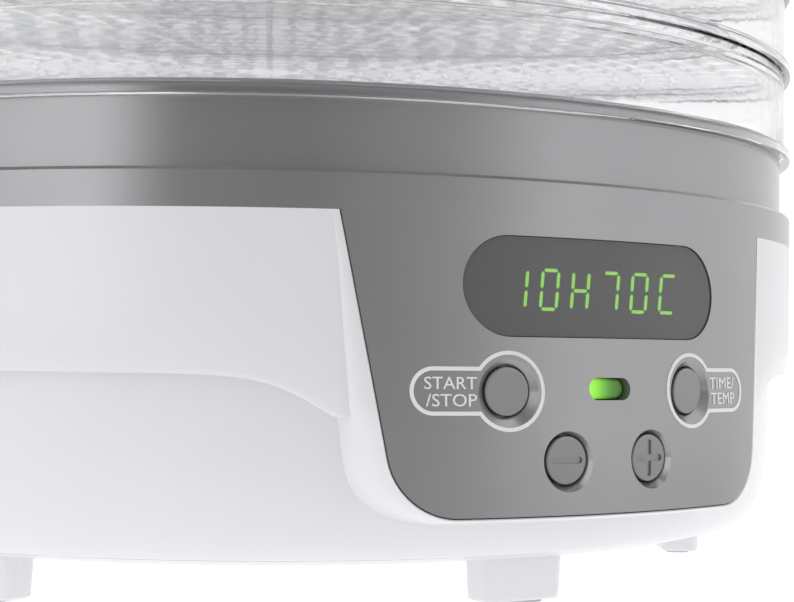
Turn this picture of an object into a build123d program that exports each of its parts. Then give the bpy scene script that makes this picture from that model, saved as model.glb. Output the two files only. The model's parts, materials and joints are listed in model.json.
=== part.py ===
from build123d import *
from math import atan2, cos, degrees, pi, radians, sin, sqrt
import os

# Round stacked-tray dryer: a fan and a heater in the base blow warm air up through clear trays.
# Millimetres. Z is up, the floor is z = 0, the stack's axis is the Z axis, the panel faces -Y.

# ---- driving dimensions -------------------------------------------------------------------------
body_radius = 165.0            # white band and lower step of the grey ring
deck_radius = 162.0            # upper part of the grey ring
wall = 2.5                     # moulded wall of the base
floor_clearance = 12.0         # floor to the underside of the bottom plate
plate_seam_z = 14.0            # joint between bottom plate and bowl
seam_gap = 0.3
plate_top_z = plate_seam_z - seam_gap
band_bottom_z = 58.0
ring_bottom_z = 96.0
ring_step_z = 105.3
ring_top_z = 122.0

tray_count = 5
tray_pitch = 25.7
tray_wall_radius = 163.3
tray_wall = 1.8
skirt_height = 3.4
spigot_radius = 160.8
spigot_height = 3.0
seat_gap = 0.4                 # radial play between a spigot and the skirt round it
floor_underside = 21.9         # tray's food floor, above the tray's own seat
floor_thickness = 1.6
lid_height = 20.0

panel_lean = 0.06              # the panel's face stands further out towards the bottom
panel_thickness = 3.0
panel_top_half = 67.1
panel_low_half = 58.4          # half width at panel_low_z
panel_low_z = 41.0
panel_bottom_z = 25.5
panel_corner = 16.0
boss_margin = 3.9              # white rim round the panel, measured on the sloped side

window_length, window_height, window_z = 80.8, 24.0, 79.4
key_radius, key_hole_radius, dish_depth = 5.8, 6.2, 1.6
key_dish_radius, step_dish_radius = 8.2, 7.2
sign_length, sign_width = 9.0, 1.6       # engraved minus and plus
key_travel = 1.0
key_recess = 0.9
start_offset, start_z = 28.75, 54.6      # arc length from the panel's centre line, and height
step_offset, step_z = 12.93, 38.3
lamp_z = 55.2
board_front_y = -152.0
board_thickness = 1.6
switch_height = 5.0

os.makedirs("parts", exist_ok=True)


def finish(piece, name):
    """Label a finished piece and write its STEP file."""
    piece.label = name
    export_step(piece, f"parts/{name}.step")


def face_radius(z):
    """Radius of the panel's outer face at a height."""
    return body_radius + panel_lean * (ring_bottom_z - z)


def cone_section(depth, thickness):
    """Section, in the XZ plane, of a leaning wall that starts a depth behind the panel's face."""
    low, high = 5.0, ring_bottom_z
    with BuildSketch(Plane.XZ) as section:
        with BuildLine():
            Polyline(
                (face_radius(low) - depth, low),
                (face_radius(high) - depth, high),
                (face_radius(high) - depth - thickness, high),
                (face_radius(low) - depth - thickness, low),
                close=True,
            )
        make_face()
    return section.sketch


def panel_outline(grow):
    """Panel seen from the front: wide at the top, round lower corners, grown by a margin."""
    slope = (panel_top_half - panel_low_half) / (ring_bottom_z - panel_low_z)
    top = ring_bottom_z
    bottom = panel_bottom_z - min(grow, 2.3)
    top_half = panel_top_half + grow
    low_half = top_half - slope * (top - bottom)
    with BuildSketch(Plane.XZ.offset(100)) as outline:
        with BuildLine():
            Polyline(
                (-top_half, top), (-low_half, bottom), (low_half, bottom), (top_half, top),
                close=True,
            )
        make_face()
        fillet(outline.vertices().group_by(Axis.Y)[0], panel_corner + grow)
    return outline.sketch


def bowl_section(inset):
    """Half section of the base shell down to the plate's underside, drawn in by a wall thickness."""
    low = floor_clearance
    with BuildSketch(Plane.XZ) as section:
        with BuildLine():
            Polyline((0, ring_bottom_z), (0, low), (141 - inset, low))
            ThreePointArc((141 - inset, low), (153.2 - inset, 18.0), (157.7 - inset, 28.4))
            Line((157.7 - inset, 28.4), (159.3 - inset, band_bottom_z + inset))
            Line((159.3 - inset, band_bottom_z + inset), (164 - inset, band_bottom_z + inset))
            Polyline(
                (164 - inset, band_bottom_z + inset),
                (body_radius - inset, band_bottom_z + inset + 6),
                (body_radius - inset, ring_bottom_z),
                (0, ring_bottom_z),
            )
        make_face()
    return section.sketch


def radial_plane(offset, z, radius):
    """Plane on the panel whose normal points outwards, at an arc length from the centre line."""
    angle = radians(-90) + offset / body_radius
    outward = Vector(cos(angle), sin(angle), 0)
    origin = outward * radius + Vector(0, 0, z)
    return Plane(origin=origin, x_dir=(-sin(angle), cos(angle), 0), z_dir=outward)


keys = {
    "start_button": (-start_offset, start_z),
    "time_button": (start_offset, start_z),
    "minus_button": (-step_offset, step_z),
    "plus_button": (step_offset, step_z),
}

# ---- base shell ---------------------------------------------------------------------------------
post_radius, post_count = 120.0, 6
gland_z, gland_hole = 34.0, 6.0

with BuildPart() as lower_housing:
    revolve(bowl_section(0), axis=Axis.Z)
    with BuildPart(mode=Mode.PRIVATE) as boss:
        extrude(panel_outline(boss_margin), amount=80)
        revolve(cone_section(0, 60), axis=Axis.Z, mode=Mode.INTERSECT)
        front_face = boss.faces().sort_by(Axis.Y)[0]
        chamfer(front_face.edges().filter_by(lambda e: e.center().Z < ring_bottom_z - 1), 3.2, 3.2)
    add(boss.part)
    revolve(bowl_section(wall), axis=Axis.Z, mode=Mode.SUBTRACT)
    split(bisect_by=Plane.XY.offset(plate_seam_z), keep=Keep.TOP)
    with BuildPart(mode=Mode.PRIVATE) as panel_seat:
        extrude(panel_outline(0.15), amount=80)
        revolve(cone_section(-1, panel_thickness + 1), axis=Axis.Z, mode=Mode.INTERSECT)
    add(panel_seat.part, mode=Mode.SUBTRACT)
    extrude(panel_outline(-3), amount=80, mode=Mode.SUBTRACT)
    with BuildSketch(Plane.XZ.offset(-140)):
        with Locations((0, gland_z)):
            Circle(gland_hole)
    extrude(amount=-30, mode=Mode.SUBTRACT)
finish(lower_housing.part, "lower_housing")

intake_rings = [24.0, 34.0, 44.0, 54.0]
motor_leg_radius = 72.0
power_centre = (0.0, 98.0)
pillar_top_z = 27.5            # pillars on the plate that carry the motor bracket and power board
with BuildPart() as bottom_plate:
    revolve(bowl_section(0), axis=Axis.Z)
    split(bisect_by=Plane.XY.offset(plate_top_z), keep=Keep.BOTTOM)
    with BuildSketch(Plane.XY.offset(floor_clearance)):
        for radius in intake_rings:
            with PolarLocations(0, 12):
                SlotArc(CenterArc((0, 0), radius, 0, 30 - 360 * 4.5 / radius / pi / 2 - 4), 5)
    extrude(amount=plate_top_z - floor_clearance, mode=Mode.SUBTRACT)
    with BuildSketch(Plane.XY.offset(plate_top_z)):
        with PolarLocations(motor_leg_radius, 3):
            Circle(4.5)
        with Locations(power_centre):
            with GridLocations(72, 40, 2, 2):
                Circle(3)
    extrude(amount=pillar_top_z - plate_top_z)
    with BuildSketch(Plane.XY.offset(floor_clearance)):
        with PolarLocations(post_radius, post_count):
            Circle(1.95)
        with PolarLocations(motor_leg_radius, 3):
            Circle(1.6)
        with Locations(power_centre):
            with GridLocations(72, 40, 2, 2):
                Circle(1.3)
    extrude(amount=pillar_top_z - floor_clearance, mode=Mode.SUBTRACT)
finish(bottom_plate.part, "bottom_plate")

foot_centre_radius, foot_width, foot_depth = 134.0, 25.0, 12.5
foot_angle = 28.8
pad_drop = 0.8
with BuildPart() as feet:
    with BuildSketch(Plane.XY.offset(floor_clearance)):
        with PolarLocations(foot_centre_radius, 6, start_angle=foot_angle):
            RectangleRounded(foot_depth, foot_width, 4)
    extrude(amount=-(floor_clearance - pad_drop), taper=3)
    fillet(feet.faces().group_by(Axis.Z)[0].edges(), 1.0)
    with BuildSketch(Plane.XY.offset(pad_drop)):
        with PolarLocations(foot_centre_radius, 6, start_angle=foot_angle):
            RectangleRounded(7.0, 15.0, 2)
    extrude(amount=1.2, mode=Mode.SUBTRACT)
finish(feet.part, "feet")

with BuildPart() as foot_pads:
    with BuildSketch():
        with PolarLocations(foot_centre_radius, 6, start_angle=foot_angle):
            RectangleRounded(6.8, 14.8, 1.9)
    extrude(amount=pad_drop + 1.2)
finish(foot_pads.part, "foot_pads")

# ---- grey ring with the air deck ----------------------------------------------------------------
deck_top_z, deck_thickness = 114.5, 2.5
outlet_radius = 60.0
lip_radius = 161.7               # lip that drops inside the white band
with BuildPart() as deck_ring:
    with BuildSketch(Plane.XZ):
        with BuildLine():
            Polyline(
                (body_radius, ring_bottom_z), (body_radius, ring_step_z - 0.8),
                (body_radius - 0.8, ring_step_z), (deck_radius, ring_step_z),
                (deck_radius, ring_top_z), (spigot_radius, ring_top_z),
                (spigot_radius, ring_top_z + spigot_height),
                (spigot_radius - 1.6, ring_top_z + spigot_height), (spigot_radius - 1.6, deck_top_z),
                (outlet_radius, deck_top_z), (outlet_radius, deck_top_z - deck_thickness),
                (spigot_radius - 1.6, deck_top_z - deck_thickness), (spigot_radius - 1.6, 91),
                (lip_radius, 91), (lip_radius, ring_bottom_z), (body_radius, ring_bottom_z),
            )
        make_face()
    revolve(axis=Axis.Z)
    with BuildSketch(Plane.XY.offset(deck_top_z - deck_thickness)):
        with PolarLocations(post_radius, post_count):
            Circle(4.5)
    extrude(amount=-(deck_top_z - deck_thickness - plate_top_z))
    with BuildSketch(Plane.XY.offset(plate_top_z)):
        with PolarLocations(post_radius, post_count):
            Circle(1.85)
    extrude(amount=16, mode=Mode.SUBTRACT)
    with BuildSketch(Plane.XY.offset(deck_top_z - deck_thickness)):
        with PolarLocations(67, 4, start_angle=45):
            Circle(1.6)
    extrude(amount=deck_thickness, mode=Mode.SUBTRACT)
finish(deck_ring.part, "deck_ring")

grille_z = deck_top_z
with BuildPart() as outlet_grille:
    with BuildSketch(Plane.XY.offset(grille_z)):
        Circle(73)
        for radius in (18.0, 30.0, 42.0, 54.0):
            with PolarLocations(0, 12):
                SlotArc(CenterArc((0, 0), radius, 0, 30 - 360 * 5 / radius / pi / 2 - 5), 5)
    extrude(amount=2.5)
    chamfer(outlet_grille.faces().sort_by(Axis.Z)[-1].outer_wire().edges(), 1.2)
finish(outlet_grille.part, "outlet_grille")

# ---- control panel ------------------------------------------------------------------------------
window_half_angle = window_length / 2 / body_radius
lens_length, lens_height, lens_recess = 12.6, 4.9, 2.4
board_holes = [(x, z) for x in (-43, 43) for z in (44, 87)]
board_post_radius = 3.0

with BuildPart() as control_fascia:
    extrude(panel_outline(0), amount=80)
    revolve(cone_section(0, panel_thickness), axis=Axis.Z, mode=Mode.INTERSECT)
    with BuildSketch(Plane.XZ.offset(120)):
        with Locations((0, window_z)):
            SlotOverall(2 * body_radius * sin(window_half_angle), window_height)
        with Locations((0, lamp_z)):
            SlotOverall(lens_length + 0.5, lens_height + 0.5)
    extrude(amount=60, mode=Mode.SUBTRACT)
    for offset, z in keys.values():
        with BuildSketch(radial_plane(offset, z, 150)):
            Circle(key_hole_radius)
        extrude(amount=30, mode=Mode.SUBTRACT)
        dish_radius = key_dish_radius if z == start_z else step_dish_radius
        flare = degrees(atan2(dish_radius - key_hole_radius, dish_depth))
        with BuildSketch(radial_plane(offset, z, face_radius(z) - dish_depth)):
            Circle(key_hole_radius)
        extrude(amount=dish_depth + 0.6, taper=-flare, mode=Mode.SUBTRACT)
    with BuildSketch(Plane.XZ.offset(face_radius(lamp_z) - 1.4)):
        with Locations((0, lamp_z)):
            SlotOverall(lens_length + 0.5, lens_height + 0.5)
    extrude(amount=2.4, taper=-42, mode=Mode.SUBTRACT)
    for x, z in board_holes:
        with BuildSketch(Plane.XZ.offset(-board_front_y)):
            with Locations((x, z)):
                Circle(board_post_radius)
        extrude(amount=sqrt((face_radius(z) - 1.6) ** 2 - x**2) + board_front_y)
    with BuildSketch(Plane.XZ.offset(-board_front_y)):
        with Locations(*board_holes):
            Circle(1.3)
    extrude(amount=5, mode=Mode.SUBTRACT)
finish(control_fascia.part, "control_fascia")

with BuildPart() as display_window:
    with BuildSketch(Plane.XZ.offset(120)):
        with Locations((0, window_z)):
            SlotOverall(2 * body_radius * sin(window_half_angle) - 0.4, window_height - 0.4)
    extrude(amount=60)
    revolve(cone_section(0.4, 2.0), axis=Axis.Z, mode=Mode.INTERSECT)
finish(display_window.part, "display_window")

with BuildPart() as indicator_lens:
    with BuildSketch(Plane.XZ.offset(159.5)):
        with Locations((0, lamp_z)):
            SlotOverall(lens_length, lens_height)
    extrude(amount=face_radius(lamp_z) - lens_recess - 159.5)
    fillet(indicator_lens.faces().sort_by(Axis.Y)[0].edges(), 0.8)
finish(indicator_lens.part, "indicator_lens")

board_half, board_low, board_high = 47.0, 32.0, 91.0
with BuildPart() as control_board:
    with BuildSketch(Plane.XZ.offset(-board_front_y)):
        with Locations((0, (board_low + board_high) / 2)):
            Rectangle(2 * board_half, board_high - board_low)
        with Locations(*board_holes):
            Circle(1.7, mode=Mode.SUBTRACT)
    extrude(amount=-board_thickness)
finish(control_board.part, "control_board")

module_length, module_height, module_depth = 30.0, 15.0, 8.0
with BuildPart() as display_modules:
    with BuildSketch(Plane.XZ.offset(-board_front_y)):
        with Locations((-15.2, window_z), (15.2, window_z)):
            Rectangle(module_length, module_height)
    extrude(amount=module_depth)
finish(display_modules.part, "display_modules")

with BuildPart() as indicator_led:
    with BuildSketch(Plane.XZ.offset(-board_front_y)):
        with Locations((0, lamp_z)):
            Circle(2.5)
    extrude(amount=4.5)
    fillet(indicator_led.faces().sort_by(Axis.Y)[0].edges(), 2.2)
finish(indicator_led.part, "indicator_led")

switch_y = board_front_y - switch_height
with BuildPart() as tact_switches:
    for offset, z in keys.values():
        x = -switch_y * offset / body_radius
        with BuildSketch(Plane.XZ.offset(-board_front_y)):
            with Locations((x, z)):
                Rectangle(6, 6)
        extrude(amount=3.5)
        with BuildSketch(Plane.XZ.offset(-board_front_y + 3.5)):
            with Locations((x, z)):
                Circle(1.7)
        extrude(amount=switch_height - 3.5)
finish(tact_switches.part, "tact_switches")

for name, (offset, z) in keys.items():
    front = face_radius(z) - key_recess
    flange_front = face_radius(z) - panel_thickness - 1.1
    stem_end = -switch_y / cos(offset / body_radius) + key_travel + 0.6
    with BuildPart() as button:
        with BuildSketch(radial_plane(offset, z, flange_front)):
            Circle(key_radius)
        extrude(amount=front - flange_front)
        cap_edge = button.faces().sort_by(Axis((0, 0, 0), radial_plane(offset, z, 1).z_dir))[-1].edges()
        fillet(cap_edge, 0.5)
        with BuildSketch(radial_plane(offset, z, flange_front)):
            Circle(key_hole_radius + 0.9)
        extrude(amount=-1.2)
        with BuildSketch(radial_plane(offset, z, flange_front)):
            Circle(1.8)
        extrude(amount=-(flange_front - stem_end))
        if name in ("minus_button", "plus_button"):
            with BuildSketch(radial_plane(offset, z, front)):
                SlotOverall(sign_length, sign_width)
                if name == "plus_button":
                    SlotOverall(sign_length, sign_width, rotation=90)
            extrude(amount=-0.5, mode=Mode.SUBTRACT)
    finish(button.part, name)

# ---- fan, heater and air duct -------------------------------------------------------------------
motor_radius, motor_low, motor_high = 30.0, 34.5, 60.0
shaft_radius = 3.0
with BuildPart() as motor_bracket:
    with BuildSketch(Plane.XY.offset(motor_low - 2)):
        Circle(motor_radius)
        Circle(8, mode=Mode.SUBTRACT)
        with PolarLocations(52, 3):
            Rectangle(50, 12)
        with PolarLocations(motor_leg_radius, 3):
            Circle(1.9, mode=Mode.SUBTRACT)
        with PolarLocations(22, 3, start_angle=60):
            Circle(1.7, mode=Mode.SUBTRACT)
    extrude(amount=2)
    with BuildSketch(Plane.XY.offset(pillar_top_z)):
        with PolarLocations(motor_leg_radius, 3):
            Circle(4.5)
            Circle(1.9, mode=Mode.SUBTRACT)
    extrude(amount=motor_low - 2 - pillar_top_z)
finish(motor_bracket.part, "motor_bracket")

with BuildPart() as fan_motor:
    with BuildSketch(Plane.XY.offset(motor_low)):
        Circle(motor_radius)
    extrude(amount=motor_high - motor_low)
    fillet(fan_motor.faces().sort_by(Axis.Z)[-1].edges(), 3)
    with BuildSketch(Plane.XY.offset(motor_high)):
        Circle(8)
    extrude(amount=3)
    with BuildSketch(Plane.XY.offset(motor_low)):
        Circle(shaft_radius + 0.05)
    extrude(amount=motor_high - motor_low + 3, mode=Mode.SUBTRACT)
    with BuildSketch(Plane.XY.offset(motor_low)):
        with PolarLocations(22, 3, start_angle=60):
            Circle(1.35)
    extrude(amount=8, mode=Mode.SUBTRACT)
finish(fan_motor.part, "fan_motor")

shaft_low, shaft_high = 36.0, 84.0
with BuildPart() as motor_shaft:
    with BuildSketch(Plane.XY.offset(shaft_low)):
        Circle(shaft_radius)
    extrude(amount=shaft_high - shaft_low)
    chamfer(motor_shaft.faces().sort_by(Axis.Z)[-1].edges(), 0.5)
finish(motor_shaft.part, "motor_shaft")

blade_count, blade_tip, impeller_low = 7, 52.0, 66.0
with BuildPart() as fan_impeller:
    with BuildSketch(Plane.XY.offset(impeller_low)):
        Circle(14)
    extrude(amount=14)
    fillet(fan_impeller.faces().sort_by(Axis.Z)[-1].edges(), 3)
    with PolarLocations((blade_tip + 12) / 2, blade_count):
        with Locations((0, 0, impeller_low + 7)):
            Box(blade_tip - 12, 22, 1.6, rotation=(28, 0, 0))
    with BuildSketch(Plane.XY.offset(impeller_low)):
        Circle(shaft_radius)
    extrude(amount=14, mode=Mode.SUBTRACT)
finish(fan_impeller.part, "fan_impeller")

shield_radius, shield_low = 58.0, 62.0
shield_high = deck_top_z - deck_thickness
with BuildPart() as heat_shield:
    with BuildSketch(Plane.XZ):
        with BuildLine():
            Polyline(
                (shield_radius, shield_low), (shield_radius, shield_high), (71, shield_high),
                (71, shield_high - 1), (shield_radius + 1, shield_high - 1),
                (shield_radius + 1, shield_low), (shield_radius, shield_low),
            )
        make_face()
    revolve(axis=Axis.Z)
    with BuildSketch(Plane.XY.offset(shield_high - 1)):
        with PolarLocations(67, 4, start_angle=45):
            Circle(1.6)
    extrude(amount=1, mode=Mode.SUBTRACT)
finish(heat_shield.part, "heat_shield")

frame_low, frame_high = 90.0, 96.0
with BuildPart() as heater_frame:
    with BuildSketch(Plane.XY.offset(frame_low)):
        Circle(shield_radius - 0.2)
        Circle(shield_radius - 2.2, mode=Mode.SUBTRACT)
        with PolarLocations(0, 2, angular_range=180):
            Rectangle(2 * shield_radius - 3, 1.6)
    extrude(amount=frame_high - frame_low)
finish(heater_frame.part, "heater_frame")

element_radius, sheath_radius = 38.0, 3.2
element_start, element_arc, leg_low = 18.0, 324.0, 85.0
with BuildPart() as heater_element:
    with BuildSketch(Plane.XZ.rotated((0, 0, element_start))):
        with Locations((element_radius, frame_high + sheath_radius)):
            Circle(sheath_radius)
    revolve(axis=Axis.Z, revolution_arc=element_arc)
    for angle in (element_start, element_start + element_arc):
        with BuildSketch(Plane.XY.offset(leg_low).rotated((0, 0, angle))):
            with Locations((element_radius, 0)):
                Circle(2.0)
        extrude(amount=frame_high + sheath_radius - leg_low)
finish(heater_element.part, "heater_element")

with BuildPart() as thermal_cutout:
    with BuildSketch(Plane.YZ.offset(shield_radius + 1.2)):
        with Locations((0, 86)):
            Circle(7)
    extrude(amount=8)
    fillet(thermal_cutout.faces().sort_by(Axis.X)[-1].edges(), 1)
finish(thermal_cutout.part, "thermal_cutout")

with BuildPart() as temperature_sensor:
    with BuildSketch(Plane.XY.offset(deck_top_z - deck_thickness - 12)):
        with Locations((0, -84)):
            Circle(3.2)
    extrude(amount=12)
    fillet(temperature_sensor.faces().sort_by(Axis.Z)[0].edges(), 2.4)
finish(temperature_sensor.part, "temperature_sensor")

# ---- power board and cord entry -----------------------------------------------------------------
power_z = pillar_top_z
with BuildPart() as power_board:
    with BuildSketch(Plane.XY.offset(power_z)):
        with Locations(power_centre):
            Rectangle(80, 48)
            with GridLocations(72, 40, 2, 2):
                Circle(1.7, mode=Mode.SUBTRACT)
    extrude(amount=board_thickness)
finish(power_board.part, "power_board")

with BuildPart() as power_parts:
    with BuildSketch(Plane.XY.offset(power_z + board_thickness)):
        with Locations((-20, 98)):
            Rectangle(26, 24)
    extrude(amount=20)
    with BuildSketch(Plane.XY.offset(power_z + board_thickness)):
        with Locations((10, 92)):
            Rectangle(19, 15)
    extrude(amount=15)
    with BuildSketch(Plane.XY.offset(power_z + board_thickness)):
        with Locations((28, 104)):
            Circle(5)
    extrude(amount=16)
finish(power_parts.part, "power_parts")

gland_face_y = face_radius(panel_bottom_z)
with BuildPart() as cord_gland:
    with BuildSketch(Plane.XZ.offset(-148)):
        with Locations((0, gland_z)):
            Circle(gland_hole - 0.1)
            Circle(3.6, mode=Mode.SUBTRACT)
    extrude(amount=-(gland_face_y - 148))
    with BuildSketch(Plane.XZ.offset(-159.6)):
        with Locations((0, gland_z)):
            Circle(gland_hole + 2.6)
            Circle(3.6, mode=Mode.SUBTRACT)
    extrude(amount=-(gland_face_y - 159.6))
    fillet(cord_gland.faces().sort_by(Axis.Y)[-1].outer_wire().edges(), 1.6)
finish(cord_gland.part, "cord_gland")

# ---- screws -------------------------------------------------------------------------------------
with BuildPart() as housing_screws:
    with BuildSketch(Plane.XY.offset(floor_clearance - 2.2)):
        with PolarLocations(post_radius, post_count):
            Circle(3.6)
    extrude(amount=2.2)
    with BuildSketch(Plane.XY.offset(floor_clearance)):
        with PolarLocations(post_radius, post_count):
            Circle(1.8)
    extrude(amount=16)
    with BuildSketch(Plane.XY.offset(floor_clearance - 2.2)):
        with PolarLocations(post_radius, post_count):
            Rectangle(4.4, 0.9)
            Rectangle(0.9, 4.4)
    extrude(amount=1.1, mode=Mode.SUBTRACT)
finish(housing_screws.part, "housing_screws")

with BuildPart() as motor_screws:
    with BuildSketch(Plane.XY.offset(motor_low)):
        with PolarLocations(motor_leg_radius, 3):
            Circle(3.2)
    extrude(amount=2)
    with BuildSketch(Plane.XY.offset(motor_low)):
        with PolarLocations(motor_leg_radius, 3):
            Circle(1.5)
    extrude(amount=-18)
    with BuildSketch(Plane.XY.offset(motor_low - 4)):
        with PolarLocations(22, 3, start_angle=60):
            Circle(2.8)
    extrude(amount=2)
    with BuildSketch(Plane.XY.offset(motor_low - 2)):
        with PolarLocations(22, 3, start_angle=60):
            Circle(1.3)
    extrude(amount=9)
finish(motor_screws.part, "motor_screws")

with BuildPart() as board_screws:
    with BuildSketch(Plane.XZ.offset(-board_front_y - board_thickness)):
        with Locations(*board_holes):
            Circle(2.8)
    extrude(amount=-2)
    with BuildSketch(Plane.XZ.offset(-board_front_y - board_thickness)):
        with Locations(*board_holes):
            Circle(1.25)
    extrude(amount=6)
    with BuildSketch(Plane.XY.offset(power_z + board_thickness)):
        with Locations(power_centre):
            with GridLocations(72, 40, 2, 2):
                Circle(2.8)
    extrude(amount=2)
    with BuildSketch(Plane.XY.offset(power_z + board_thickness)):
        with Locations(power_centre):
            with GridLocations(72, 40, 2, 2):
                Circle(1.25)
    extrude(amount=-8)
finish(board_screws.part, "board_screws")

with BuildPart() as shield_screws:
    with BuildSketch(Plane.XY.offset(shield_high - 1)):
        with PolarLocations(67, 4, start_angle=45):
            Circle(2.8)
    extrude(amount=-2)
    with BuildSketch(Plane.XY.offset(shield_high - 1)):
        with PolarLocations(67, 4, start_angle=45):
            Circle(1.5)
    extrude(amount=3.2)
finish(shield_screws.part, "shield_screws")

# ---- clear trays --------------------------------------------------------------------------------
skirt_inner = spigot_radius + seat_gap
tray_inner = tray_wall_radius - tray_wall
spigot_inner = spigot_radius - 1.6
with BuildPart() as tray_rim:
    with BuildSketch(Plane.XZ):
        with BuildLine():
            Polyline(
                (skirt_inner, 0), (body_radius, 0), (body_radius, skirt_height - 0.9),
                (tray_wall_radius, skirt_height), (tray_wall_radius, tray_pitch),
                (spigot_radius, tray_pitch), (spigot_radius, tray_pitch + spigot_height),
                (spigot_inner, tray_pitch + spigot_height), (spigot_inner, floor_underside),
                (tray_inner, floor_underside), (tray_inner, skirt_height), (skirt_inner, skirt_height),
                (skirt_inner, 0),
            )
        make_face()
    revolve(axis=Axis.Z)

floor_rings = [46.0, 69.0, 92.0, 115.0, 138.0, spigot_inner]
floor_bar, hub_radius, spoke_count = 3.0, 23.0, 20
spoke_length = spigot_inner - hub_radius
with BuildPart() as tray_floor:
    with BuildSketch(Plane.XY.offset(floor_underside)):
        for radius in reversed(floor_rings):
            Circle(radius)
            Circle(radius - floor_bar, mode=Mode.SUBTRACT)
        Circle(hub_radius)
        with PolarLocations(spoke_length / 2 + hub_radius - 1, spoke_count):
            Rectangle(spoke_length - 1, floor_bar)
    extrude(amount=floor_thickness)

tray_seats = [ring_top_z + n * tray_pitch for n in range(tray_count)]
for number, seat in enumerate(tray_seats, start=1):
    finish(tray_rim.part.moved(Location((0, 0, seat))), f"tray_{number}_rim")
    finish(tray_floor.part.moved(Location((0, 0, seat))), f"tray_{number}_floor")

# ---- lid ----------------------------------------------------------------------------------------
lid_seat = ring_top_z + tray_count * tray_pitch
dome_edge, dome_thickness = 12.0, 1.8
knob_radius, knob_height = 21.0, 8.0
vent_rings = [40.0, 54.0, 68.0]
with BuildPart() as lid:
    with BuildSketch(Plane.XZ):
        with BuildLine():
            Polyline(
                (0, lid_height), (0, lid_height - dome_thickness), (2, lid_height - dome_thickness)
            )
            ThreePointArc(
                (2, lid_height - dome_thickness),
                (90, lid_height - dome_thickness - 2.2),
                (tray_inner - 4, dome_edge - dome_thickness),
            )
            Polyline(
                (tray_inner - 4, dome_edge - dome_thickness), (tray_inner, dome_edge - 6),
                (tray_inner, skirt_height), (skirt_inner, skirt_height), (skirt_inner, 0),
                (body_radius, 0), (body_radius, skirt_height - 0.9),
                (tray_wall_radius, skirt_height), (tray_wall_radius, dome_edge - 5),
                (tray_wall_radius - 5, dome_edge),
            )
            ThreePointArc((tray_wall_radius - 5, dome_edge), (90, lid_height - 2.2), (2, lid_height))
            Line((2, lid_height), (0, lid_height))
        make_face()
    revolve(axis=Axis.Z)
    with BuildSketch(Plane.XY.offset(lid_height - 0.3)):
        Circle(knob_radius)
    extrude(amount=knob_height, taper=8)
    fillet(lid.faces().sort_by(Axis.Z)[-1].edges(), 3)
    with BuildSketch(Plane.XY.offset(lid_height - 3)):
        Circle(knob_radius - 3.5)
    extrude(amount=knob_height - 0.5, taper=8, mode=Mode.SUBTRACT)
    with BuildSketch(Plane.XY.offset(lid_height - 8)):
        for radius in vent_rings:
            with PolarLocations(0, 16, start_angle=11.25):
                SlotArc(CenterArc((0, 0), radius, 0, 14), 4)
    extrude(amount=12, mode=Mode.SUBTRACT)
finish(lid.part.moved(Location((0, 0, lid_seat))), "lid")
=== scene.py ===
import bpy
import bmesh
import json
import math
from mathutils import Matrix, Vector


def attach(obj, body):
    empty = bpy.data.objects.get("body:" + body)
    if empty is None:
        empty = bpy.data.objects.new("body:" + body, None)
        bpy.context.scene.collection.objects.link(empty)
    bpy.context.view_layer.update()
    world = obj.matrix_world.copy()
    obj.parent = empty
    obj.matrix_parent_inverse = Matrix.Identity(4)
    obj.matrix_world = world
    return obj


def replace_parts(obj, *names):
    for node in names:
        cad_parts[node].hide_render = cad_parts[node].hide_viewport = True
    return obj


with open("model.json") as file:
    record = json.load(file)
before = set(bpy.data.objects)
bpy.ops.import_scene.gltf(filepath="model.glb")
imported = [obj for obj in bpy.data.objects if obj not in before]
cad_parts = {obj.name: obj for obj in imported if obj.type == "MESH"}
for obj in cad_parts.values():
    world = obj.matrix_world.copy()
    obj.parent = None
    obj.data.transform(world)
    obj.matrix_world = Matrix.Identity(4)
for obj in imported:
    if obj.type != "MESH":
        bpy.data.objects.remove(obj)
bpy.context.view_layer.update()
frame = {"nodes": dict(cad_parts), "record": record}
nodes = frame["nodes"]
scene = bpy.context.scene

# ---- camera -------------------------------------------------------------------------------------
# The panel is seen from its left, a little below the ring, close up.
# Eye in metres; heading, pitch and roll in radians.
eye = Vector((-0.27224, -0.47565, 0.06367))
heading, pitch, roll = math.radians(34.208), math.radians(1.713), math.radians(0.719)
lens_mm = 76.39


def aim_camera():
    """Camera at the eye, turned by heading from +Y towards +X, then pitched up and rolled."""
    data = bpy.data.cameras.new("view_camera")
    data.lens = lens_mm
    data.sensor_width = 36.0
    data.clip_start, data.clip_end = 0.01, 20.0
    camera = bpy.data.objects.new("view_camera", data)
    scene.collection.objects.link(camera)
    forward = Vector((math.sin(heading) * math.cos(pitch), math.cos(heading) * math.cos(pitch),
                      math.sin(pitch)))
    level = Vector((math.cos(heading), -math.sin(heading), 0))
    up = level.cross(forward)
    right = math.cos(roll) * level + math.sin(roll) * up
    top = right.cross(forward)
    turn = Matrix((right, top, -forward)).transposed()
    camera.matrix_world = Matrix.Translation(eye) @ turn.to_4x4()
    scene.camera = camera


aim_camera()

# ---- materials ----------------------------------------------------------------------------------


def shader(name):
    """New node material; returns its material, tree and Principled node."""
    material = bpy.data.materials.new(name)
    material.use_nodes = True
    tree = material.node_tree
    return material, tree, tree.nodes["Principled BSDF"]


def noise(tree, scale, detail=3.0):
    """Noise in object space, in features per metre."""
    coords = tree.nodes.new("ShaderNodeTexCoord")
    texture = tree.nodes.new("ShaderNodeTexNoise")
    texture.inputs["Scale"].default_value = scale
    texture.inputs["Detail"].default_value = detail
    tree.links.new(coords.outputs["Object"], texture.inputs["Vector"])
    return texture.outputs["Fac"]


def spread(tree, value, low, high):
    """A 0 to 1 value mapped onto low to high."""
    ramp = tree.nodes.new("ShaderNodeMapRange")
    ramp.inputs["From Min"].default_value = 0.3
    ramp.inputs["From Max"].default_value = 0.7
    ramp.inputs["To Min"].default_value = low
    ramp.inputs["To Max"].default_value = high
    tree.links.new(value, ramp.inputs["Value"])
    return ramp.outputs["Result"]


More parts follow.
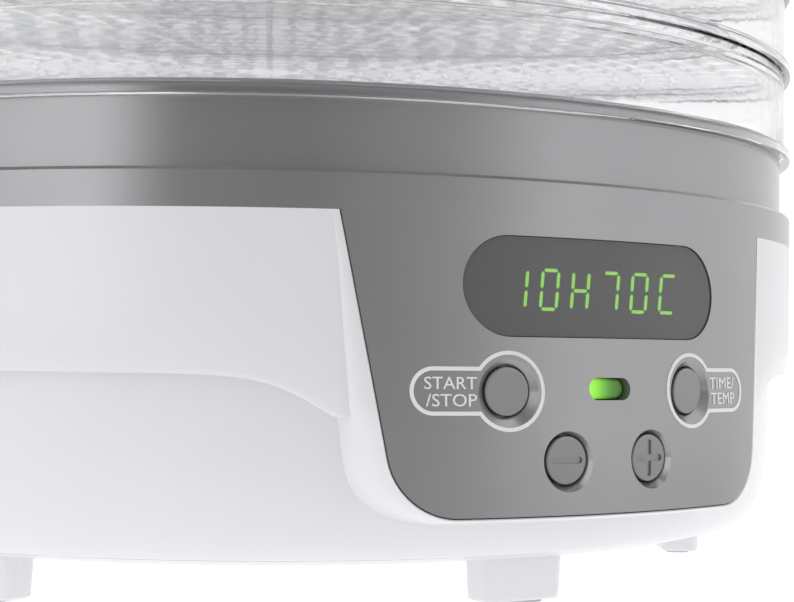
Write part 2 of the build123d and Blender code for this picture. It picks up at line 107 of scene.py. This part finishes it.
def bump(tree, principled, value, strength, distance):
    node = tree.nodes.new("ShaderNodeBump")
    node.inputs["Strength"].default_value = strength
    node.inputs["Distance"].default_value = distance
    tree.links.new(value, node.inputs["Height"])
    tree.links.new(node.outputs["Normal"], principled.inputs["Normal"])


def tone(tree, principled, value, dark, light):
    """Base colour that drifts between two close tones."""
    ramp = tree.nodes.new("ShaderNodeValToRGB")
    ramp.color_ramp.elements[0].position = 0.35
    ramp.color_ramp.elements[1].position = 0.65
    ramp.color_ramp.elements[0].color = (*dark, 1)
    ramp.color_ramp.elements[1].color = (*light, 1)
    tree.links.new(value, ramp.inputs["Fac"])
    tree.links.new(ramp.outputs["Color"], principled.inputs["Base Color"])


def plastic(name, dark, light, rough, grain=2500.0, grain_strength=0.04, metallic=0.0):
    """Moulded plastic: slow colour drift, patchy gloss and a fine spark-eroded grain."""
    material, tree, principled = shader(name)
    principled.inputs["Metallic"].default_value = metallic
    slow = noise(tree, 18.0)
    tone(tree, principled, slow, dark, light)
    tree.links.new(spread(tree, noise(tree, 60.0), rough[0], rough[1]), principled.inputs["Roughness"])
    bump(tree, principled, noise(tree, grain, 2.0), grain_strength, 0.0002)
    return material


def clear(name, tint, rough):
    """Clear moulded polystyrene."""
    material, tree, principled = shader(name)
    principled.inputs["Base Color"].default_value = (*tint, 1)
    principled.inputs["Transmission Weight"].default_value = 1.0
    principled.inputs["IOR"].default_value = 1.49
    tree.links.new(spread(tree, noise(tree, 90.0), rough[0], rough[1]), principled.inputs["Roughness"])
    bump(tree, principled, noise(tree, 140.0, 2.0), 0.05, 0.001)
    return material


slots = {
    "housing_white": plastic("housing_white", (0.80, 0.79, 0.82), (0.82, 0.81, 0.84), (0.20, 0.26)),
    "ring_grey": plastic(
        "ring_grey", (0.33, 0.325, 0.335), (0.345, 0.34, 0.35),
        (0.18, 0.22), metallic=0.75,
    ),
    "panel_grey": plastic(
        "panel_grey", (0.33, 0.328, 0.332), (0.345, 0.343, 0.348),
        (0.20, 0.24), metallic=0.75,
    ),
    "key_grey": plastic(
        "key_grey", (0.29, 0.29, 0.295), (0.31, 0.31, 0.315),
        (0.24, 0.30), metallic=0.6,
    ),
    "pad_rubber": plastic(
        "pad_rubber", (0.5, 0.5, 0.51), (0.56, 0.56, 0.57),
        (0.7, 0.85), 900.0, 0.2,
    ),
    "gland_rubber": plastic(
        "gland_rubber", (0.68, 0.68, 0.70), (0.74, 0.74, 0.76),
        (0.5, 0.6), 900.0, 0.15,
    ),
    "board_green": plastic("board_green", (0.02, 0.16, 0.07), (0.03, 0.2, 0.09), (0.25, 0.4)),
    "module_black": plastic("module_black", (0.02, 0.02, 0.02), (0.03, 0.03, 0.03), (0.35, 0.5)),
    "mica_board": plastic(
        "mica_board", (0.5, 0.43, 0.3), (0.62, 0.55, 0.4),
        (0.4, 0.6), 600.0, 0.3,
    ),
    "plated_steel": plastic(
        "plated_steel", (0.5, 0.5, 0.52), (0.62, 0.62, 0.63),
        (0.25, 0.4), 1500.0, 0.1, 1.0,
    ),
    "sheath_steel": plastic(
        "sheath_steel", (0.35, 0.33, 0.31), (0.45, 0.42, 0.4),
        (0.3, 0.45), 1500.0, 0.1, 1.0,
    ),
    "fan_aluminium": plastic(
        "fan_aluminium", (0.7, 0.71, 0.72), (0.76, 0.77, 0.78),
        (0.25, 0.4), 1500.0, 0.1, 1.0,
    ),
    "clear_plastic": clear("clear_plastic", (0.97, 0.975, 0.985), (0.02, 0.06)),
    "lamp_green": plastic("lamp_green", (0.10, 0.32, 0.05), (0.13, 0.38, 0.07), (0.12, 0.2)),
    "window_smoke": plastic(
        "window_smoke", (0.14, 0.138, 0.145), (0.155, 0.153, 0.16),
        (0.10, 0.14),
    ),
}
slots["window_smoke"].node_tree.nodes["Principled BSDF"].inputs["Alpha"].default_value = 0.72
clear_mesh = plastic("clear_mesh", (0.88, 0.88, 0.89), (0.92, 0.92, 0.93), (0.06, 0.12))
clear_mesh.node_tree.nodes["Principled BSDF"].inputs["Alpha"].default_value = 0.15
legend_white = plastic("legend_white", (0.80, 0.79, 0.81), (0.86, 0.85, 0.87), (0.35, 0.5))


def lit(name, colour, strength):
    """Display segment: a dim coloured window with an emitted glow: light from behind for lit segments, a
    faint painted glow for unlit ones.
    """
    material = plastic(name, tuple(0.3 * c for c in colour), tuple(0.4 * c for c in colour), (0.4, 0.5))
    principled = material.node_tree.nodes["Principled BSDF"]
    principled.inputs["Emission Color"].default_value = (*colour, 1)
    principled.inputs["Emission Strength"].default_value = strength
    return material


segment_lit = lit("segment_lit", (0.34, 0.95, 0.05), 7.0)
# unlit segments: a faint dark red painted glow, not light from behind
segment_off_painted_glow = lit("segment_off_painted_glow", (0.12, 0.03, 0.025), 0.8)


def glow_from_left(material):
    """The lamp's light guide is brightest at its left end."""
    tree = material.node_tree
    principled = tree.nodes["Principled BSDF"]
    coords = tree.nodes.new("ShaderNodeTexCoord")
    split = tree.nodes.new("ShaderNodeSeparateXYZ")
    ramp = tree.nodes.new("ShaderNodeMapRange")
    ramp.interpolation_type = "SMOOTHSTEP"
    ramp.inputs["From Min"].default_value = -0.0055
    ramp.inputs["From Max"].default_value = 0.0035
    ramp.inputs["To Min"].default_value = 0.85
    ramp.inputs["To Max"].default_value = 0.04
    tree.links.new(coords.outputs["Object"], split.inputs["Vector"])
    tree.links.new(split.outputs["X"], ramp.inputs["Value"])
    tree.links.new(ramp.outputs["Result"], principled.inputs["Emission Strength"])
    principled.inputs["Emission Color"].default_value = (0.36, 1.0, 0.05, 1)


glow_from_left(slots["lamp_green"])

slot_of = {part["node"]: part["material_slot"] for part in frame["record"]["subparts"]}
for name, thing in nodes.items():
    thing.data.materials.clear()
    thing.data.materials.append(slots[slot_of[name]])

# ---- dimensions, millimetres --------------------------------------------------------------------
MM = 0.001
band_radius = 165.0
seam_z, band_edge_z, ring_z = 14.0, 58.0, 96.0
wall = 2.5
tip_angle = math.radians(23.35)        # where the band's lower edge meets the boss
tip_drop = 10.3
panel_top_half, panel_slope = 67.1, 0.1582
panel_bottom_z, panel_corner = 25.5, 16.0
tray_pitch, ring_top_z, tray_count = 25.7, 122.0, 5


def place(radius, angle, z):
    """Point in metres from a radius, an angle from the panel's centre line, and a height."""
    return Vector((radius * math.sin(angle), -radius * math.cos(angle), z)) * MM


def face_radius(z):
    return band_radius + 0.06 * (ring_z - z)


def smooth(low, high, value):
    t = min(max((value - low) / (high - low), 0.0), 1.0)
    return t * t * (3 - 2 * t)


def piece(name, points, faces, material, sharp=35.0):
    """Mesh object with outward normals, smooth apart from edges sharper than an angle."""
    mesh = bpy.data.meshes.new(name)
    mesh.from_pydata(points, [], faces)
    work = bmesh.new()
    work.from_mesh(mesh)
    bmesh.ops.remove_doubles(work, verts=work.verts, dist=1e-6)
    bmesh.ops.recalc_face_normals(work, faces=work.faces)
    work.to_mesh(mesh)
    work.free()
    mesh.polygons.foreach_set("use_smooth", [True] * len(mesh.polygons))
    mesh.set_sharp_from_angle(angle=math.radians(sharp))
    mesh.materials.append(material)
    thing = bpy.data.objects.new(name, mesh)
    scene.collection.objects.link(thing)
    return thing


def loops(rings, closed_across, closed_along):
    """Points and quads of a grid of equal rings; each ring is a list of points."""
    points = [p for ring in rings for p in ring]
    n = len(rings[0])
    faces = []
    for r in range(len(rings) if closed_along else len(rings) - 1):
        s = (r + 1) % len(rings)
        for i in range(n if closed_across else n - 1):
            j = (i + 1) % n
            faces.append((r * n + i, r * n + j, s * n + j, s * n + i))
    return points, faces


def cut(thing, cutter):
    """Takes a closed mesh out of another one and removes it."""
    tool = thing.modifiers.new("cut", "BOOLEAN")
    tool.object, tool.solver, tool.operation = cutter, "EXACT", "DIFFERENCE"
    bpy.context.view_layer.objects.active = thing
    bpy.ops.object.modifier_apply(modifier="cut")
    bpy.data.objects.remove(cutter)


# ---- lower housing: bowl, band with its two wings, and the boss round the panel -------------------


def bowl_radius(z):
    return 159.4 - 10.0 * math.exp(-((max(z - seam_z, 0.0) / 6.9) ** 0.75))


def edge_height(angle):
    """Height of the band's lower edge, which dips to a point each side of the boss."""
    past = math.degrees(abs(angle) - tip_angle)
    return band_edge_z - tip_drop * math.exp(-((max(past, 0.0) / 4.63) ** 1.5))


def shell_ring(angle):
    """Closed section of the shell at one angle: up the outside, down the inside."""
    edge = edge_height(angle)
    outside = []
    for i in range(33):
        z = seam_z + (edge - seam_z) * (i / 32) ** 1.8
        outside.append((bowl_radius(z), z))
    outside += [(162.9, edge), (163.6, edge + 0.2), (164.05, edge + 0.7), (164.2, edge + 1.5)]
    for i in range(1, 25):
        z = edge + 1.5 + (ring_z - edge - 1.5) * (i / 24)
        outside.append((band_radius - 0.8 * math.exp(-(z - edge - 1.5) / 3.0), z))
    inside = []
    for radius, z in reversed(outside):
        low = bowl_radius(min(z, edge)) - wall
        inside.append((low + (band_radius - wall - low) * smooth(edge + 2, edge + 7, z), z))
    return [place(radius, angle, z) for radius, z in outside + inside]


def shell_angles():
    dense = [math.radians(-44 + 0.5 * i) for i in range(177)]
    sparse = [math.radians(44 + 2.5 * i) for i in range(1, 109)]
    return dense + [a for a in sparse if a < math.radians(315.9)]


def panel_path(grow):
    """Panel outline from top left, round the bottom, to top right: (x, z, nx, nz, margin share)."""
    bottom = panel_bottom_z
    side = []
    corner_z = bottom + panel_corner
    corner_x = panel_top_half - panel_slope * (ring_z - bottom) - panel_corner * 0.854
    lean = math.atan(panel_slope)
    start = corner_x + panel_corner * math.cos(lean), corner_z - panel_corner * math.sin(lean)
    for i in range(40):
        z = ring_z + (start[1] - ring_z) * i / 40
        x = start[0] + (z - start[1]) * panel_slope
        tilt = lean * (ring_z - z) / (ring_z - start[1])
        side.append((x, z, math.cos(tilt), -math.sin(tilt), 0.0))
    for i in range(21):
        a = lean + (math.pi / 2 - lean) * i / 20
        side.append((corner_x + panel_corner * math.cos(a), corner_z - panel_corner * math.sin(a),
                     math.cos(a), -math.sin(a), i / 20))
    for i in range(1, 12):
        side.append((corner_x * (1 - i / 11), bottom, 0.0, -1.0, 1.0))
    mirrored = [(-x, z, -nx, nz, share) for x, z, nx, nz, share in side]
    full = mirrored + side[-2::-1]
    return [(x + nx * grow, z + nz * grow, x, z, nx, nz, share) for x, z, nx, nz, share in full]


def boss_margin(z, share):
    """Width of the boss's sloped rim: narrow at the top, wide on the sides, less along the bottom."""
    beside = 4.6 - 2.7 * smooth(47.8, ring_z, z)
    return beside + (2.3 - beside) * smooth(0.15, 0.9, share)


def boss_sections():
    sections = []
    for x, z, _, _, nx, nz, share in panel_path(0.0):
        margin = boss_margin(z, share)
        shape = []
        for step in range(13):
            t = step / 12
            grow = 0.3 + (margin - 0.3) * t
            px, pz = x + nx * grow, min(z + nz * grow, ring_z)
            blend_up = smooth(44.0, 52.0, pz)
            under = bowl_radius(pz) + (band_radius - bowl_radius(pz)) * blend_up
            face = face_radius(pz)
            drop = 0.15 * t + 0.85 * (1 - math.sqrt(1 - t * t))
            radius = face + 0.03 - (face - under) * drop
            if step == 0:
                deep = bowl_radius(pz) - 1.2
                shape.append(place(deep, math.asin(px / deep), pz))
                shape.append(place(radius - 0.35, math.asin(px / radius), pz))
                px += nx * 0.3
                pz += nz * 0.3
                shape.append(place(radius, math.asin(px / radius), min(pz, ring_z)))
            else:
                shape.append(place(radius, math.asin(px / radius), pz))
        deep = bowl_radius(pz) - 1.2
        shape.append(place(deep, math.asin(px / deep), pz))
        sections.append(shape)
    return sections


def capped(rings):
    """Tube through closed rings with flat ends."""
    points, faces = loops(rings, True, False)
    n = len(rings[0])
    faces.append(tuple(range(n)))
    faces.append(tuple(range(len(points) - n, len(points))))
    return points, faces


def join(things, name):
    bpy.ops.object.select_all(action="DESELECT")
    for thing in things:
        thing.select_set(True)
    bpy.context.view_layer.objects.active = things[0]
    bpy.ops.object.join()
    things[0].name = name
    return things[0]


def lower_housing():
    shell = piece("shell", *loops([shell_ring(a) for a in shell_angles()], True, True),
                  slots["housing_white"])
    outline = panel_path(0.9)
    front = [Vector((x, -185, z + (4 if z > ring_z - 0.01 else 0))) * MM for x, z, *_ in outline]
    back = [Vector((p.x, -0.100, p.z)) for p in front]
    cut(shell, piece("opening", *capped([front, back]), slots["housing_white"]))
    hole = [[Vector((6.0 * math.cos(a), y, 34.0 + 6.0 * math.sin(a))) * MM
             for a in (math.tau * i / 48 for i in range(48))] for y in (140, 180)]
    cut(shell, piece("hole", *capped(hole), slots["housing_white"]))
    boss = piece("boss", *capped(boss_sections()), slots["housing_white"])
    housing = join([shell, boss], "housing_moulding")
    housing.data.polygons.foreach_set("use_smooth", [True] * len(housing.data.polygons))
    housing.data.set_sharp_from_angle(angle=math.radians(35))
    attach(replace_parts(housing, "lower_housing"), "base")


lower_housing()

# ---- clear trays --------------------------------------------------------------------------------


def turned(profile, segments):
    """Closed section turned round the stack's axis."""
    rings = [[place(r, math.tau * i / segments, z) for r, z in profile] for i in range(segments)]
    return loops(rings, True, True)


def box_points(low_r, high_r, angle, half, low_z, high_z):
    """Corners of a small radial bar."""
    across = Vector((math.cos(angle), math.sin(angle), 0)) * half * MM
    corners = []
    for z in (low_z, high_z):
        for radius in (low_r, high_r):
            for side in (-1, 1):
                corners.append(place(radius, angle, z) + side * across)
    return corners


box_faces = ((0, 1, 3, 2), (4, 6, 7, 5), (0, 4, 5, 1), (2, 3, 7, 6), (0, 2, 6, 4), (1, 5, 7, 3))


def tray_mesh():
    """Rim and brick-patterned mesh floor of one tray, above its own seat."""
    rim = [(161.3, 0.25), (161.55, 0), (164.7, 0), (165, 0.3), (165, 2.5), (164.7, 2.9), (163.9, 3.15),
           (163.3, 3.7), (163.3, 25.2), (162.9, 25.6), (161.3, 25.7), (160.8, 26.0), (160.8, 28.2),
           (160.4, 28.7), (159.6, 28.7), (159.2, 28.3), (159.2, 24.2), (158.6, 23.5), (157.4, 23.5),
           (157.4, 21.9), (160.9, 21.9), (161.5, 21.3), (161.5, 4.2), (161.3, 3.4)]
    points, faces = turned(rim, 192)
    inner, pitch, bar = 12.0, 9.0, 1.0
    count = 16
    for ring in range(count + 1):
        radius = inner + pitch * ring
        section = [(radius - bar, 22.0), (radius + bar, 22.0), (radius + bar * 0.7, 23.5),
                   (radius - bar * 0.7, 23.5)]
        if ring == 0:
            section = [(0.01, 22.0), (radius + bar, 22.0), (radius + bar * 0.7, 23.5), (0.01, 23.5)]
        more, quads = turned(section, 96 if ring > 6 else 48)
        faces += [tuple(i + len(points) for i in quad) for quad in quads]
        points += more
        if ring == count:
            break
        ribs = 12 * max(1, round((radius + pitch) * math.tau / 13.0 / 12))
        for rib in range(ribs):
            angle = math.tau * (rib + 0.5 * (ring % 2)) / ribs
            corners = box_points(radius + bar * 0.4, radius + pitch - bar * 0.4, angle, 0.8, 22.1, 23.4)
            faces += [tuple(i + len(points) for i in quad) for quad in box_faces]
            points += corners
    return points, faces


first_tray = piece("tray_moulding_1", *tray_mesh(), slots["clear_plastic"])
first_tray.data.materials.append(clear_mesh)
for face in first_tray.data.polygons:
    if face.center.xy.length < 157.3 * MM:
        face.material_index = 1
for number in range(1, tray_count + 1):
    tray = first_tray
    if number > 1:
        tray = bpy.data.objects.new(f"tray_moulding_{number}", first_tray.data)
        scene.collection.objects.link(tray)
    tray.location.z = (ring_top_z + (number - 1) * tray_pitch) * MM
    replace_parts(tray, f"tray_{number}_rim", f"tray_{number}_floor")
    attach(tray, f"tray_{number}_body")

# ---- printed legends and the display --------------------------------------------------------------
key_arc, key_z = 28.75, 54.7
print_depth = 0.14                   # printed legends stand this far out of the panel


def printed(name, loops_out, loops_in):
    """A printed line between two equal outlines of (arc length, height), laid on the panel."""
    rings = []
    for outer, inner in zip(loops_out, loops_in):
        ring = []
        corners = (
            (outer, -print_depth), (outer, print_depth), (inner, print_depth), (inner, -print_depth),
        )
        for (s, z), lift in corners:
            ring.append(place(face_radius(z) + lift, s / band_radius, z))
        rings.append(ring)
    return piece(name, *loops(rings, True, True), legend_white)


def keyhole(radius, half, reach, side):
    """Circle round a key that runs out into a round-ended tab; side is -1 for left, 1 for right."""
    neck = math.asin(half / radius)
    outline = []
    for i in range(61):
        a = neck + (math.tau - 2 * neck) * i / 60
        outline.append((radius * math.cos(a), radius * math.sin(a)))
    for i in range(1, 31):
        a = -math.pi / 2 + math.pi * i / 30
        if i == 1:
            outline.append((reach - half, -half))
        outline.append((reach - half + half * math.cos(a), half * math.sin(a)))
    return [(side * (key_arc + x), key_z + z) for x, z in outline]


def lettering(name, text, left, right, low, high):
    """Built-in font, fitted to a box of (arc length, height) and laid on the panel."""
    curve = bpy.data.curves.new(name, "FONT")
    curve.body = text
    curve.extrude = 0.5
    curve.resolution_u = 3
    flat = bpy.data.objects.new(name, curve)
    scene.collection.objects.link(flat)
    bpy.context.view_layer.update()
    mesh = bpy.data.meshes.new_from_object(flat.evaluated_get(bpy.context.evaluated_depsgraph_get()))
    bpy.data.objects.remove(flat)
    xs = [v.co.x for v in mesh.vertices]
    ys = [v.co.y for v in mesh.vertices]
    points = []
    for v in mesh.vertices:
        s = left + (right - left) * (v.co.x - min(xs)) / (max(xs) - min(xs))
        z = low + (high - low) * (v.co.y - min(ys)) / (max(ys) - min(ys))
        points.append(place(face_radius(z) + math.copysign(print_depth, v.co.z), s / band_radius, z))
    faces = [tuple(p.vertices) for p in mesh.polygons]
    return piece(name, points, faces, legend_white)


def legends():
    made = []
    for side, rows in ((-1, ("START", "/STOP")), (1, ("TIME/", "TEMP"))):
        made.append(printed(f"key_outline_{len(made)}", keyhole(9.46, 5.65, 24.5, side),
                            keyhole(8.55, 4.72, 23.57, side)))
        near, far = (-49.8, -37.0) if side < 0 else (37.1, 49.1)
        made.append(lettering(f"legend_{len(made)}", rows[0], near, far, 55.1, 58.0))
        made.append(lettering(f"legend_{len(made)}", rows[1], near + 0.4, far, 51.15, 54.05))
    art = join(made, "panel_legends")
    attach(art, "base")


legends()

cell_pitch, digit_half_width, digit_half, display_x, display_z = 9.65, 2.45, 4.7, 1.3, 79.0
segments = {
    "a": ((-1, 1), (1, 1)), "b": ((1, 1), (1, 0)), "c": ((1, 0), (1, -1)), "d": ((-1, -1), (1, -1)),
    "e": ((-1, 0), (-1, -1)), "f": ((-1, 1), (-1, 0)), "g": ((-1, 0), (1, 0)),
}
shown = ("bc", "abcdef", "bcefg", "abc", "abcdef", "adef")


def bar(start, end, centre_x):
    """Six-sided segment from one grid corner to another, slanted like the digits."""
    a = Vector((start[0] * digit_half_width, start[1] * digit_half))
    b = Vector((end[0] * digit_half_width, end[1] * digit_half))
    along = (b - a).normalized()
    across = Vector((-along.y, along.x)) * 0.42
    a, b = a + along * 0.35, b - along * 0.35
    ring = (a, a + along * 0.42 + across, b - along * 0.42 + across, b, b - along * 0.42 - across,
            a + along * 0.42 - across)
    flat = [(centre_x + p.x + 0.09 * p.y, display_z + p.y) for p in ring]
    return [[Vector((x, y, z)) * MM for x, z in flat] for y in (-160.02, -160.2)]


def display():
    lit_points, lit_faces, off_points, off_faces = [], [], [], []
    for cell, glyph in enumerate(shown):
        centre = display_x + (cell - 2.5) * cell_pitch
        for letter, (start, end) in segments.items():
            points, faces = (lit_points, lit_faces) if letter in glyph else (off_points, off_faces)
            more, quads = capped(bar(start, end, centre))
            faces += [tuple(i + len(points) for i in quad) for quad in quads]
            points += more
    for name, points, faces, material in (
        ("digits_lit", lit_points, lit_faces, segment_lit),
        ("digits_off", off_points, off_faces, segment_off_painted_glow),
    ):
        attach(piece(name, points, faces, material), "base")


display()

# ---- floor and light ----------------------------------------------------------------------------


forward_side = (-0.087, -0.996, 0)      # direction in which the table darkens
fade_start, fade_end = 0.19, 0.30       # metres from the axis
camera_turn = math.radians(119.8)       # brings the camera's own direction to the ramp's middle


def tree_node(material, kind):
    return material.node_tree.nodes.new(kind)


def floor():
    """White table that runs into the background and falls off in front, on the panel's side."""
    bpy.ops.mesh.primitive_plane_add(size=12)
    plane = bpy.context.object
    plane.name = "floor"
    table = plastic("floor_white", (0.3, 0.3, 0.3), (0.32, 0.32, 0.32), (0.6, 0.7))
    principled = table.node_tree.nodes["Principled BSDF"]
    principled.inputs["Emission Color"].default_value = (1, 1, 1, 1)
    coords = tree_node(table, "ShaderNodeTexCoord")
    nearer = tree_node(table, "ShaderNodeVectorMath")
    nearer.operation = "DOT_PRODUCT"
    nearer.inputs[1].default_value = forward_side
    fade = tree_node(table, "ShaderNodeMapRange")
    fade.interpolation_type = "SMOOTHSTEP"
    fade.inputs["From Min"].default_value = fade_start
    fade.inputs["From Max"].default_value = fade_end
    fade.inputs["To Min"].default_value = 0.8
    fade.inputs["To Max"].default_value = 0.3
    links = table.node_tree.links
    links.new(coords.outputs["Object"], nearer.inputs[0])
    links.new(nearer.outputs["Value"], fade.inputs["Value"])
    links.new(fade.outputs["Result"], principled.inputs["Emission Strength"])
    plane.data.materials.append(table)


def studio():
    """White cyclorama behind; round the camera a bright left box, a dark gap and a soft right wall."""
    world = bpy.data.worlds.new("studio")
    scene.world = world
    world.use_nodes = True
    tree = world.node_tree
    coords = tree.nodes.new("ShaderNodeTexCoord")
    turn = tree.nodes.new("ShaderNodeMapping")
    turn.inputs["Rotation"].default_value = (0, 0, camera_turn)
    around = tree.nodes.new("ShaderNodeTexGradient")
    around.gradient_type = "RADIAL"
    ramp = tree.nodes.new("ShaderNodeValToRGB")
    tree.links.new(coords.outputs["Generated"], turn.inputs["Vector"])
    tree.links.new(turn.outputs["Vector"], around.inputs["Vector"])
    tree.links.new(around.outputs["Fac"], ramp.inputs["Fac"])
    tree.links.new(ramp.outputs["Color"], tree.nodes["Background"].inputs["Color"])
    # degrees round from the camera's own direction: minus is to its left, plus to its right
    stops = ((-180, 1.0), (-95, 1.0), (-85, 1.2), (-60, 1.4), (-33, 1.75), (-20, 0.38), (8, 0.33), (37, 0.62),
             (60, 1.25), (95, 1.15), (179, 1.0))
    marks = ramp.color_ramp.elements
    while len(marks) > 1:
        marks.remove(marks[0])
    for index, (degrees, level) in enumerate(stops):
        mark = marks[0] if index == 0 else marks.new((degrees + 180) / 360)
        mark.position = (degrees + 180) / 360
        mark.color = (level, level, level, 1)
    tree.nodes["Background"].inputs["Strength"].default_value = 1.0


floor()
studio()
scene.view_settings.view_transform = "Standard"
scene.cycles.transparent_max_bounces = 48      # the trays stack many clear layers
